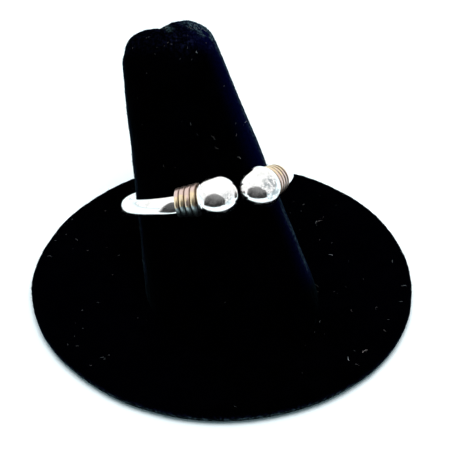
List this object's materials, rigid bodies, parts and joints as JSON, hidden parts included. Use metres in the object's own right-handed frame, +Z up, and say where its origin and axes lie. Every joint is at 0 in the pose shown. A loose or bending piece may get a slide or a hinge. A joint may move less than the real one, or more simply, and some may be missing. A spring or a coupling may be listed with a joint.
{
  "type": "double ball ring on a velvet ring display stand",
  "caption": "Open silver ring whose ends carry facing balls beside copper wire wraps, worn on a leaning black velvet display finger with a round base.",
  "frame": {"origin": "centre of the display base's underside, on the surface that the stand rests on", "axes": "+Z up; -Y towards the front, where the ring's two balls face each other; +X to the right seen from the front; the display finger leans back towards +Y"},
  "size_m": [0.0572, 0.0572, 0.0352],
  "materials": {
    "silver": "polished silver with fine handling scratches",
    "copper": "bright drawn copper wire, brown between the turns",
    "velvet": "short black pile with a faint navy sheen and a little lint"
  },
  "bodies": {
    "root": {"hoop_with_balls": "silver", "left_wrap": "copper", "right_wrap": "copper", "display_finger": "velvet", "display_base": "velvet"}
  },
  "joints": []
}
